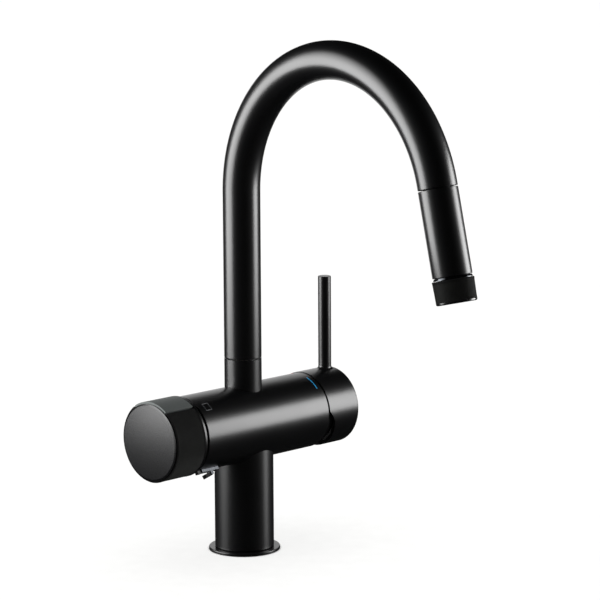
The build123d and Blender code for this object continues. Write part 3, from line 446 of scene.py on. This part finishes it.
def ink(name, colour):
    """Ink of one colour, half matt, with the fine speckle of a pad print."""
    material, tree, shader = finish(name, colour, 0.42)
    where = add(tree, "ShaderNodeTexCoord")
    speck = add(
        tree, "ShaderNodeTexNoise",
        {"Vector": where.outputs["Object"], "Scale": 1000 / 0.4},
    )
    thin = add(tree, "ShaderNodeMix", {"Factor": speck.outputs["Fac"]}, data_type="RGBA")
    thin.inputs["A"].default_value = linear(colour)
    thin.inputs["B"].default_value = (*(INK_THINNED * part for part in linear(colour)[:3]), 1.0)
    tree.links.new(thin.outputs["Result"], shader.inputs["Base Color"])
    return material


def skin(name, points, along=True, around=True, caps=False):
    """A mesh from a grid of points in millimetres, one face a cell. The grid may close on
    itself along its rows, around its columns or both, and caps puts a flat face on each open
    end of a tube. The faces are turned outwards by the sign of the volume they enclose."""
    rows, columns = points.shape[:2]
    first = np.arange(rows if along else rows - 1)[:, None] * columns
    below = (first + columns) % (rows * columns)
    left = np.arange(columns if around else columns - 1)[None, :]
    right = (left + 1) % columns
    cells = np.stack([first + left, first + right, below + right, below + left], -1).reshape(-1, 4)
    flat = points.reshape(-1, 3) / 1000.0
    a, b, c, d = (flat[cells[:, k]] for k in range(4))
    volume = np.einsum("ij,ij->", a, np.cross(b, c)) + np.einsum("ij,ij->", a, np.cross(c, d))
    if volume < 0:
        cells = cells[:, ::-1]
    faces = cells.tolist()
    if caps:
        ends = [list(range(columns)), list(range((rows - 1) * columns, rows * columns))]
        faces += [ends[0][::-1], ends[1]] if volume >= 0 else [ends[0], ends[1][::-1]]
    mesh = bpy.data.meshes.new(name)
    mesh.from_pydata(flat.tolist(), [], faces)
    mesh.shade_smooth()
    piece = bpy.data.objects.new(name, mesh)
    bpy.context.scene.collection.objects.link(piece)
    return piece


def bar(name, place, material):
    """A printed bar round the body: a thin box section carried from one angle to another,
    narrowing to a round end, half the width times the root of one minus the square of the
    place in the end."""
    x, width, start, end = place
    angles = np.linspace(start, end, BAR_POINTS)
    end_angle = math.degrees(width / 2 / BODY_RADIUS)
    into = np.clip(np.minimum(angles - start, end - angles) / end_angle, 0.0, 1.0)
    half = width / 2 * np.sqrt(np.clip(1 - (1 - into) ** 2, 0.02, 1))
    corners = [(-half, INK_BOTTOM), (-half, INK_TOP), (half, INK_TOP), (half, INK_BOTTOM)]
    points = np.stack([on_body(x + side, angles, radius) for side, radius in corners], 1)
    piece = skin(name, points, along=False, caps=True)
    piece.data.materials.append(material)
    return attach(piece, "base")


bar("cold_mark", COLD_BAR, ink("blue_pad_print", "2295cf"))
bar("hot_mark", HOT_BAR, ink("red_pad_print", "b8352c"))

# The square's line is a thin box section carried round a square path on the cylinder.
step = np.linspace(0, 4, SQUARE_POINTS, endpoint=False)
path_x = np.interp(step, range(5), [-1, 1, 1, -1, -1])
path_up = np.interp(step, range(5), [-1, -1, 1, 1, -1])
square_rings = []
for inset, radius in (
    (0, INK_BOTTOM), (0, INK_TOP), (SQUARE_LINE, INK_TOP), (SQUARE_LINE, INK_BOTTOM),
):
    x = SQUARE_MIDDLE[0] + path_x * (SQUARE_SIZE[0] / 2 - inset)
    angle = SQUARE_MIDDLE[1] + path_up * np.degrees((SQUARE_SIZE[1] / 2 - inset) / BODY_RADIUS)
    square_rings.append(on_body(x, angle, radius))
square_mark = skin("filter_mark", np.stack(square_rings, 1))
square_mark.data.materials.append(ink("grey_pad_print", "4c4f52"))
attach(square_mark, "base")

# Spout tube
# A drawn brass tube, 28 mm across and 1.6 mm thick, bent round a former into the C of the
# arch, with its ends faced off and their edges broken, then coated with the body.
SPOUT_RADIUS = 14.0
SPOUT_WALL = 1.6
SPOUT_FOOT = 147.4
ARCH_HEIGHT = 272.0
ARCH_RADIUS = 103.5
ARCH_SWEEP = math.radians(166.3)
SPOUT_TAIL = 2.5
SPOUT_TURN = math.radians(-2.63)
BROKEN_EDGE = 0.35
SPOUT_SIDES = 96
SPOUT_RINGS = 190
CORNER_POINTS = 5


def spout_place(run, foot):
    """Centre, outward normal and sideways normal of the spout's line at a run from its foot: up
    the riser, round the arch's circle, then straight on, all turned a little about Z."""
    riser = ARCH_HEIGHT - foot
    angle = np.clip((run - riser) / ARCH_RADIUS, 0, ARCH_SWEEP)
    up = np.minimum(run, riser)
    on = np.maximum(run - riser - ARCH_RADIUS * ARCH_SWEEP, 0)
    y = -ARCH_RADIUS * (1 - np.cos(angle)) - np.sin(angle) * on
    z = foot + up + ARCH_RADIUS * np.sin(angle) + np.cos(angle) * on
    spin = np.array([
        [math.cos(SPOUT_TURN), -math.sin(SPOUT_TURN), 0],
        [math.sin(SPOUT_TURN), math.cos(SPOUT_TURN), 0],
        [0, 0, 1],
    ])
    centre = np.stack([0 * y, y, z], -1) @ spin.T
    outward = np.stack([0 * y, np.cos(angle), np.sin(angle)], -1) @ spin.T
    sideways = np.stack([1 + 0 * y, 0 * y, 0 * y], -1) @ spin.T
    return centre, outward, sideways


def spout_skin(name, section, foot, sides):
    """A closed section of (radius, run) points carried round the spout's line: each point lies
    at its run, its radius away from the line at every angle."""
    radius, run = section[:, 0], section[:, 1]
    centre, outward, sideways = spout_place(run, foot)
    angle = np.linspace(0, 2 * np.pi, sides, endpoint=False)[:, None, None]
    arm = np.cos(angle) * outward[None] + np.sin(angle) * sideways[None]
    return skin(name, centre[None] + radius[None, :, None] * arm)


def eased(corners, radii):
    """A closed outline with its corners rounded: each corner is a curve between two points on
    its sides, pulled towards the corner by the square weights of a parabola."""
    corners = np.asarray(corners, float)
    radii = np.asarray(radii, float)[:, None]
    before = np.roll(corners, 1, 0) - corners
    after = np.roll(corners, -1, 0) - corners
    start = corners + radii * before / np.linalg.norm(before, axis=1, keepdims=True)
    end = corners + radii * after / np.linalg.norm(after, axis=1, keepdims=True)
    start, middle, end = start[:, None], corners[:, None], end[:, None]
    t = np.linspace(0, 1, CORNER_POINTS)[None, :, None]
    curve = (1 - t) ** 2 * start + 2 * t * (1 - t) * middle + t ** 2 * end
    return curve.reshape(-1, 2)


spout_length = ARCH_HEIGHT - SPOUT_FOOT + ARCH_RADIUS * ARCH_SWEEP + SPOUT_TAIL
spout_bore = SPOUT_RADIUS - SPOUT_WALL
outer_runs = np.linspace(BROKEN_EDGE * 2, spout_length - BROKEN_EDGE * 2, SPOUT_RINGS)
inner_runs = outer_runs[::-2]
ends = eased(
    [(SPOUT_RADIUS, 0), (SPOUT_RADIUS, spout_length), (spout_bore, spout_length), (spout_bore, 0)],
    [BROKEN_EDGE] * 4,
)
outline = np.concatenate([
    ends[:CORNER_POINTS], np.stack([SPOUT_RADIUS + 0 * outer_runs, outer_runs], -1),
    ends[CORNER_POINTS:3 * CORNER_POINTS], np.stack([spout_bore + 0 * inner_runs, inner_runs], -1),
    ends[3 * CORNER_POINTS:],
])
spout = spout_skin("spout_tube_coated", outline, SPOUT_FOOT, SPOUT_SIDES)
spout.data.materials.append(black_coat)
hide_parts("spout_tube")
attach(spout, "spout")

# Spray hose
# A pull-out hose: a soft tube in a smooth black nylon sheath, 12 mm across. It lies in the
# spout and ends in the spray head's neck. Its last run, from ten millimetres before the arch's
# end into the head, is a piece of its own.
HOSE_RADIUS = 6.0
HOSE_WALL = 1.4
HOSE_FOOT = 12.0
HOSE_IN_HEAD = 12.0
PULLED_RUN = 10.0
PULLED_GAP = 0.1
WEAVE_WIDTH = 0.9
WEAVE_DEPTH = 0.02
HOSE_SIDES = 40
HOSE_RINGS = 120
PULLED_RINGS = 60
sheath, tree, shader = finish("black_nylon_sheath", "131416", 0.38)
where = add(tree, "ShaderNodeTexCoord")
weave = add(
    tree, "ShaderNodeTexNoise",
    {"Vector": where.outputs["Object"], "Scale": 1000 / WEAVE_WIDTH, "Detail": 1.0},
)
lift = add(
    tree, "ShaderNodeBump",
    {"Height": weave.outputs["Fac"], "Strength": 0.4, "Distance": WEAVE_DEPTH / 1000},
)
tree.links.new(lift.outputs["Normal"], shader.inputs["Normal"])
shader.inputs["Sheen Weight"].default_value = 0.2

hose_to_arch_end = ARCH_HEIGHT - HOSE_FOOT + ARCH_RADIUS * ARCH_SWEEP
pulled_from = hose_to_arch_end - PULLED_RUN
pulled_to = hose_to_arch_end + HOSE_IN_HEAD
hose_pieces = []
for name, hose_runs in (
    ("spray_hose_sheathed", np.linspace(0, pulled_from, HOSE_RINGS)),
    ("spray_hose_pulled_run", np.linspace(pulled_from + PULLED_GAP, pulled_to, PULLED_RINGS)),
):
    outline = np.concatenate([
        np.stack([HOSE_RADIUS + 0 * hose_runs, hose_runs], -1),
        np.stack([HOSE_RADIUS - HOSE_WALL + 0 * hose_runs, hose_runs], -1)[::-1],
    ])
    hose = spout_skin(name, outline, HOSE_FOOT, HOSE_SIDES)
    hose.data.materials.append(sheath)
    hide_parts("spray_hose")
    hose_pieces.append(hose)
standing_hose, pulled_hose = hose_pieces
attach(standing_hose, "spout")
arch_end, outward, sideways = spout_place(np.array([hose_to_arch_end]), HOSE_FOOT)
pull_line = np.cross(outward[0], sideways[0])
pull_line *= np.sign(-pull_line[2])
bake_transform(pulled_hose)

# Filtered water tube
# A thin polyethylene tube inside the hose, milky clear, so that filtered water never meets the
# mixed water.
clear_tube, tree, shader = finish("clear_polyethylene", "dfe5e6", 0.22)
shader.inputs["Transmission Weight"].default_value = 0.6
where = add(tree, "ShaderNodeTexCoord")
milk = add(tree, "ShaderNodeTexNoise", {"Vector": where.outputs["Object"], "Scale": 1000 / 6.0})
haze = add(
    tree, "ShaderNodeMapRange", {"Value": milk.outputs["Fac"], "To Min": 0.18, "To Max": 0.34}
)
tree.links.new(haze.outputs[0], shader.inputs["Roughness"])
dress(clear_tube, "filter_tube")

# Hose tail
# A brass nipple with an M15x1 thread, screwed to the hose's lower end inside the column.
TAIL_RADIUS = 7.5
TAIL_BORE = 3.0
TAIL_STEM = 4.55
TAIL_LOW = 1.0
TAIL_THREAD = 11.0
TAIL_TOP = 17.5
THREAD_PITCH = 1.0
THREAD_DEPTH = 0.5
THREAD_RINGS = 111
TAIL_SIDES = 96


def turned_about(radii, heights, place, turns=None):
    """Points of a piece turned about a place's own Z: the radii are a grid of angle by profile,
    the heights are the profile's. It goes all the way round unless its angles are given."""
    if turns is None:
        turns = np.linspace(0, 2 * np.pi, len(radii), endpoint=False)[:, None]
    local = np.stack([
        radii * np.cos(turns), radii * np.sin(turns), np.broadcast_to(heights, radii.shape)
    ], -1)
    return local @ np.array(place.to_3x3()).T + np.array(place.translation)


thread_top = TAIL_LOW + TAIL_THREAD
thread = np.linspace(TAIL_LOW, thread_top, THREAD_RINGS)
heights = np.concatenate([[TAIL_LOW], thread, [thread_top, TAIL_TOP, TAIL_TOP]])
crests = np.concatenate([
    [TAIL_BORE], TAIL_RADIUS + 0 * thread, [TAIL_STEM, TAIL_STEM, TAIL_BORE]
])
turn_share = np.arange(TAIL_SIDES)[:, None] / TAIL_SIDES
# A thread is a triangle wave of the height less the turn's share of the pitch, faded at its ends.
wave = np.abs(2 * ((thread[None] / THREAD_PITCH - turn_share) % 1) - 1)
fade = np.clip(np.minimum(thread - TAIL_LOW, thread_top - thread), 0, 1)[None]
radii = np.tile(crests, (TAIL_SIDES, 1))
radii[:, 1:1 + THREAD_RINGS] -= THREAD_DEPTH * (1 - wave * fade)
tail = skin("hose_tail_threaded", turned_about(radii, heights, Matrix()))
tail.data.materials.append(brass)
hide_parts("hose_tail")
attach(tail, "spout")

# Spray head shell
# A drawn tube of the spout's own size, coated with it, its two edges broken so that they catch
# the light beside the joints.
HEAD_START = 3.3
HEAD_END = 63.7
HEAD_WALL = 1.5
HEAD_INNER_EDGE = 0.2
HEAD_SIDES = 128
head_turn = Matrix.Rotation(SPOUT_TURN, 4, "Z") @ Matrix.Rotation(ARCH_SWEEP, 4, "X")
HEAD = Matrix.Translation(Vector(arch_end[0])) @ head_turn
head_bore = SPOUT_RADIUS - HEAD_WALL
outline = eased(
    [(SPOUT_RADIUS, HEAD_START), (SPOUT_RADIUS, HEAD_END), (head_bore, HEAD_END),
     (head_bore, HEAD_START)],
    [BROKEN_EDGE, BROKEN_EDGE, HEAD_INNER_EDGE, HEAD_INNER_EDGE],
)
radii = np.tile(outline[:, 0], (HEAD_SIDES, 1))
shell = skin("head_shell_coated", turned_about(radii, outline[:, 1], HEAD))
shell.data.materials.append(black_coat)
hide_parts("head_shell")
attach(shell, "head")

# Trim ring on the spray head
# A brass ring in black chrome, polished, that shows as a thin bright bevel above the collar:
# it mirrors the boxes at both sides and is dark between them.
black_chrome, tree, shader = finish("polished_black_chrome", "45474a", 0.12, 1.0)
where = add(tree, "ShaderNodeTexCoord")
film = add(tree, "ShaderNodeTexNoise", {"Vector": where.outputs["Object"], "Scale": 1000 / 8.0})
wiped = add(
    tree, "ShaderNodeMapRange", {"Value": film.outputs["Fac"], "To Min": 0.1, "To Max": 0.18}
)
tree.links.new(wiped.outputs[0], shader.inputs["Roughness"])
dress(black_chrome, "trim_ring")

# Collar of the spray head
# Turned brass with a fine diamond knurl rolled into it, then coated black. The foot of the
# collar is left smooth and bevelled, and shines at its edge.
COLLAR_START = 65.9
COLLAR_END = 82.6
COLLAR_RADIUS = 14.8
COLLAR_FOOT = 14.4
COLLAR_BORE = 10.88
COLLAR_CHAMBER = 12.6
COLLAR_SHOULDER = 73.6
COLLAR_TOP = 1.0
FOOT_BEVEL = 1.4
COLLAR_KNURLS = 84
KNURL_DEPTH = 0.36
KNURL_EDGE = 1.3
POINTS_A_KNURL = 4


def diamonds(across, along):
    """Height from 0 to 1 of a diamond knurl: the lower of two slanting triangle waves, one
    rising with both counts and one with their difference."""
    rising = np.abs(2 * ((across + along) % 1) - 1)
    falling = np.abs(2 * ((across - along) % 1) - 1)
    return np.minimum(rising, falling)


# The knurl's crests are rubbed a little smoother by hands. Their paler colour, patchy by the wear
# pattern, is partly wear and partly a painted highlight of the light the crests catch; the valleys
# keep the coat's dark.
knurl_coat, tree, shader = finish("knurled_black_coat", "0c0c0b", 0.5)
crest = add(tree, "ShaderNodeAttribute", attribute_name="crest")
where = add(tree, "ShaderNodeTexCoord")
wear = add(tree, "ShaderNodeTexNoise", {"Vector": where.outputs["Object"], "Scale": 1000 / 12.0})
crest_wear_and_highlight = add(
    tree, "ShaderNodeMath", {0: crest.outputs["Fac"], 1: wear.outputs["Fac"]}, operation="MULTIPLY"
)
rubbed = add(
    tree, "ShaderNodeMapRange", {"Value": crest_wear_and_highlight.outputs[0], "To Min": 0.6, "To Max": 0.4}
)
tree.links.new(rubbed.outputs[0], shader.inputs["Roughness"])
# Painted highlight in part: crests paler than valleys, patchy by the wear pattern.
crest_wear_and_highlight_tint = add(tree, "ShaderNodeMix", {"Factor": crest_wear_and_highlight.outputs[0]}, data_type="RGBA")
crest_wear_and_highlight_tint.inputs["A"].default_value = linear("0a0a0a")
crest_wear_and_highlight_tint.inputs["B"].default_value = linear("1e1f1d")
tree.links.new(crest_wear_and_highlight_tint.outputs["Result"], shader.inputs["Base Color"])
shader.inputs["Specular IOR Level"].default_value = 0.02


def rub(piece, columns, start, heights):
    """Stores the knurl's height at each point of its grid, for the finish to read."""
    grid = np.zeros((len(piece.data.vertices) // columns, columns))
    grid[:, start:start + heights.shape[1]] = heights
    piece.data.attributes.new("crest", "FLOAT", "POINT").data.foreach_set("value", grid.ravel())


gloss_edge, tree, shader = finish("polished_black_edge", "060607", 0.22)
where = add(tree, "ShaderNodeTexCoord")
buffed = add(tree, "ShaderNodeTexNoise", {"Vector": where.outputs["Object"], "Scale": 1000 / 4.0})
shine = add(
    tree, "ShaderNodeMapRange", {"Value": buffed.outputs["Fac"], "To Min": 0.18, "To Max": 0.26}
)
tree.links.new(shine.outputs[0], shader.inputs["Roughness"])

pitch = 2 * np.pi * COLLAR_RADIUS / COLLAR_KNURLS
sides = COLLAR_KNURLS * POINTS_A_KNURL
grip = np.arange(COLLAR_START + COLLAR_TOP, COLLAR_END - FOOT_BEVEL, pitch / POINTS_A_KNURL)
slope = (COLLAR_FOOT - COLLAR_RADIUS) / (COLLAR_END - COLLAR_START)
middle_corner = slice(CORNER_POINTS, 2 * CORNER_POINTS)
top = eased(
    [(COLLAR_BORE, COLLAR_START), (COLLAR_RADIUS, COLLAR_START), (COLLAR_RADIUS, grip[0])],
    [0.0, COLLAR_TOP / 2, 0.0],
)[middle_corner]
foot = eased(
    [(COLLAR_FOOT, grip[-1]), (COLLAR_FOOT, COLLAR_END), (COLLAR_CHAMBER, COLLAR_END)],
    [0.0, FOOT_BEVEL - 0.1, 0.0],
)[middle_corner]
inside = np.array([
    (COLLAR_CHAMBER, COLLAR_END), (COLLAR_CHAMBER, COLLAR_SHOULDER), (COLLAR_BORE, COLLAR_SHOULDER),
    (COLLAR_BORE, COLLAR_START),
])
outer = np.stack([COLLAR_RADIUS + slope * (grip - COLLAR_START), grip], -1)
outline = np.concatenate([top, outer, foot, inside])
turn_share = np.arange(sides)[:, None] / sides
fade = np.clip(np.minimum(grip - grip[0], grip[-1] - grip) / KNURL_EDGE, 0, 1)[None]
radii = np.tile(outline[:, 0], (sides, 1))
rolled = diamonds(turn_share * COLLAR_KNURLS, grip[None] / pitch)
radii[:, len(top):len(top) + len(grip)] -= KNURL_DEPTH * (1 - rolled) * fade
collar = skin("spray_collar_knurled", turned_about(radii, outline[:, 1], HEAD))
collar.data.materials.append(knurl_coat)
collar.data.materials.append(gloss_edge)
rub(collar, len(outline), len(top), rolled * fade)
foot_start = len(top) + len(grip)
beside_foot = np.zeros(len(outline), int)
beside_foot[foot_start - 1:foot_start + len(foot) - 1] = 1
collar.data.polygons.foreach_set("material_index", np.tile(beside_foot, sides))
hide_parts("spray_collar")
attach(collar, "collar")
overhead_pieces.objects.link(collar)
collar_alone.objects.link(collar)

# Filter knob: sleeve
# Turned aluminium, knurled with the collar's diamonds and anodised black. A gap at the top
# takes the smooth panel that shows which way the knob is turned.
KNOB_RADIUS = 30.0
KNOB_BORE = 26.9
SLEEVE_START = 66.6
SLEEVE_END = 93.8
SLEEVE_KNURLS = 172
SLEEVE_SHARE = 0.8
SLEEVE_EDGE = 0.3
SLEEVE_EDGE_IN = 0.25
GRIP_FROM_START = 0.6
GRIP_FROM_END = 0.5
PANEL_HALF = math.radians(33.7)
PANEL_GAP = 1.7
KNOB_GAP_HALF = PANEL_HALF + PANEL_GAP / KNOB_RADIUS
KNOB = Matrix(((0, 0, -1, 0), (0, 1, 0, 0), (1, 0, 0, BODY_HEIGHT), (0, 0, 0, 1)))

pitch = 2 * np.pi * KNOB_RADIUS / SLEEVE_KNURLS
grip = np.arange(
    SLEEVE_START + GRIP_FROM_START, SLEEVE_END - GRIP_FROM_END, pitch / POINTS_A_KNURL
)
columns = int(SLEEVE_KNURLS * POINTS_A_KNURL * SLEEVE_SHARE)
turns = np.linspace(KNOB_GAP_HALF, 2 * np.pi - KNOB_GAP_HALF, columns)[:, None]
start = [
    (KNOB_BORE, SLEEVE_START), (KNOB_RADIUS - SLEEVE_EDGE_IN, SLEEVE_START),
    (KNOB_RADIUS, SLEEVE_START + SLEEVE_EDGE),
]
end = [
    (KNOB_RADIUS, SLEEVE_END - SLEEVE_EDGE), (KNOB_RADIUS - SLEEVE_EDGE_IN, SLEEVE_END),
    (KNOB_BORE, SLEEVE_END),
]
outline = np.concatenate([start, np.stack([KNOB_RADIUS + 0 * grip, grip], -1), end])
beside = np.minimum(turns - turns[0], turns[-1] - turns) * KNOB_RADIUS
within = np.minimum(grip - grip[0], grip[-1] - grip)[None]
fade = np.clip(np.minimum(beside, within) / KNURL_EDGE, 0, 1)
radii = np.tile(outline[:, 0], (columns, 1))
rolled = diamonds(turns * SLEEVE_KNURLS / (2 * np.pi), grip[None] / pitch)
radii[:, len(start):len(start) + len(grip)] -= KNURL_DEPTH * (1 - rolled) * fade
sleeve = skin(
    "knob_sleeve_knurled", turned_about(radii, outline[:, 1], KNOB, turns), along=False, caps=True
)
sleeve.data.materials.append(knurl_coat)
rub(sleeve, len(outline), len(start), rolled * fade)
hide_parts("knob_sleeve")
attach(sleeve, "knob")
overhead_pieces.objects.link(sleeve)
sleeve_alone.objects.link(sleeve)

# Filter knob: end plate and panel
# Aluminium, bead blasted and anodised black: an even satin that takes a soft gradient. The
# panel in the sleeve's gap is painted a shade paler grey: painted light, standing in for the light
# that falls on the knob's top.
BEAD_WIDTH = 0.7
BEAD_DEPTH = 0.01
ROUGHNESS_SPREAD = 0.04


def blasted(name, colour, roughness, gloss):
    """Bead-blasted aluminium under a dyed anodic layer: fine round dents, an even satin."""
    material, tree, shader = finish(name, colour, roughness)
    shader.inputs["Specular IOR Level"].default_value = gloss
    where = add(tree, "ShaderNodeTexCoord")
    beads = add(
        tree, "ShaderNodeTexNoise",
        {"Vector": where.outputs["Object"], "Scale": 1000 / BEAD_WIDTH, "Detail": 1.0},
    )
    dent = add(
        tree, "ShaderNodeBump",
        {"Height": beads.outputs["Fac"], "Strength": 0.25, "Distance": BEAD_DEPTH / 1000},
    )
    tree.links.new(dent.outputs["Normal"], shader.inputs["Normal"])
    low, high = roughness - ROUGHNESS_SPREAD, roughness + ROUGHNESS_SPREAD
    shade = add(
        tree, "ShaderNodeMapRange", {"Value": beads.outputs["Fac"], "To Min": low, "To Max": high}
    )
    tree.links.new(shade.outputs[0], shader.inputs["Roughness"])
    return material


dress(blasted("black_anodised_aluminium", "0b0b0d", 0.28, 0.5), "knob_face")
# The panel's paler grey is painted light from above, not a dye.
dress(blasted("panel_aluminium_painted_paler", "5c605f", 0.55, 0.15), "knob_panel")
